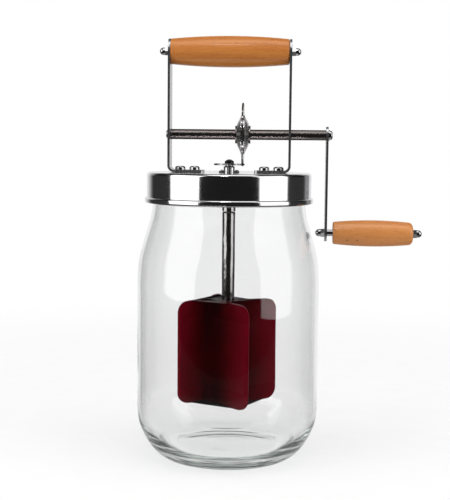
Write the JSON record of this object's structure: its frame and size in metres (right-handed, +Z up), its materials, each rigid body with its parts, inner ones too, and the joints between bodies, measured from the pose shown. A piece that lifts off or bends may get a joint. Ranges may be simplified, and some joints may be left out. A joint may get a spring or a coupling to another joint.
{
  "type": "butter churn",
  "caption": "Hand-cranked butter churn: glass jar, twist-off steel lid with brackets and carrying grip, side crank, gear pair and a bladed paddle.",
  "frame": {"origin": "centre of the jar's base ring, on the surface it stands on", "axes": "+Z up along the jar's axis, +X toward the crank, -Y toward the front"},
  "size_m": [0.249, 0.16, 0.369],
  "materials": {
    "jar_glass": "clear moulded glass, faint green-grey in its thick base",
    "gasket_rubber": "matte white silicone rubber",
    "lid_steel": "bright stainless sheet, mirror-like skirt",
    "strip_steel": "satin stainless strip",
    "gear_steel": "stamped stainless, satin",
    "shaft_steel": "polished steel rod",
    "fastener_steel": "polished stainless fasteners",
    "grip_wood": "satin lacquered hardwood, grain along the grip",
    "knob_wood": "satin lacquered light hardwood with small knots",
    "paddle_red": "glossy dark red moulding"
  },
  "bodies": {
    "jar": {"glass_jar": "jar_glass"},
    "seal": {"lid_gasket": "gasket_rubber"},
    "lid_frame": {"lid": "lid_steel", "left_bracket": "strip_steel", "right_bracket": "strip_steel", "bracket_screw_1": "fastener_steel", "bracket_screw_2": "fastener_steel", "bracket_screw_3": "fastener_steel", "bracket_screw_4": "fastener_steel", "bracket_nut_1": "fastener_steel", "bracket_nut_2": "fastener_steel", "bracket_nut_3": "fastener_steel", "bracket_nut_4": "fastener_steel", "handle_grip": "grip_wood", "handle_rod": "fastener_steel", "handle_nut_left": "fastener_steel", "handle_nut_right": "fastener_steel", "spindle_bridge": "strip_steel", "bridge_rivet_left": "fastener_steel", "bridge_rivet_right": "fastener_steel", "bearing_sleeve": "shaft_steel"},
    "crank": {"drive_shaft": "shaft_steel", "shaft_end_screw": "fastener_steel", "drive_gear": "gear_steel", "gear_hub_left": "gear_steel", "gear_hub_right": "gear_steel", "gear_washer_left": "fastener_steel", "gear_washer_right": "fastener_steel", "crank_arm": "strip_steel", "crank_washer": "fastener_steel", "crank_screw": "fastener_steel", "crank_rod": "fastener_steel", "crank_rod_nut": "fastener_steel", "crank_spacer": "fastener_steel", "knob_nut": "fastener_steel"},
    "knob": {"crank_knob": "knob_wood"},
    "churn": {"spindle": "shaft_steel", "pinion_gear": "gear_steel", "pinion_nut": "fastener_steel", "paddle_shaft": "shaft_steel", "paddle": "paddle_red", "paddle_washer": "fastener_steel", "paddle_screw": "fastener_steel"}
  },
  "joints": [
    {"name": "lid_lift", "type": "slide", "parent": "jar", "child": "seal", "axis": [0, 0, 1], "range_m": [0, 0.215]},
    {"name": "lid_turn", "type": "hinge", "parent": "seal", "child": "lid_frame", "pos_m": [0, 0, 0.251], "axis": [0, 0, 1], "range_deg": [0, 35]},
    {"name": "crank_spin", "type": "hinge", "parent": "lid_frame", "child": "crank", "pos_m": [0, 0, 0.284], "axis": [1, 0, 0], "continuous": true},
    {"name": "knob_spin", "type": "hinge", "parent": "crank", "child": "knob", "pos_m": [0.126, 0, 0.199], "axis": [1, 0, 0], "continuous": true},
    {"name": "churn_spin", "type": "hinge", "parent": "lid_frame", "child": "churn", "pos_m": [0, 0, 0.258], "axis": [0, 0, 1], "continuous": true}
  ],
  "couplings": [
    {"joint": "churn_spin", "follows": "crank_spin", "ratio": 2.3333}
  ]
}
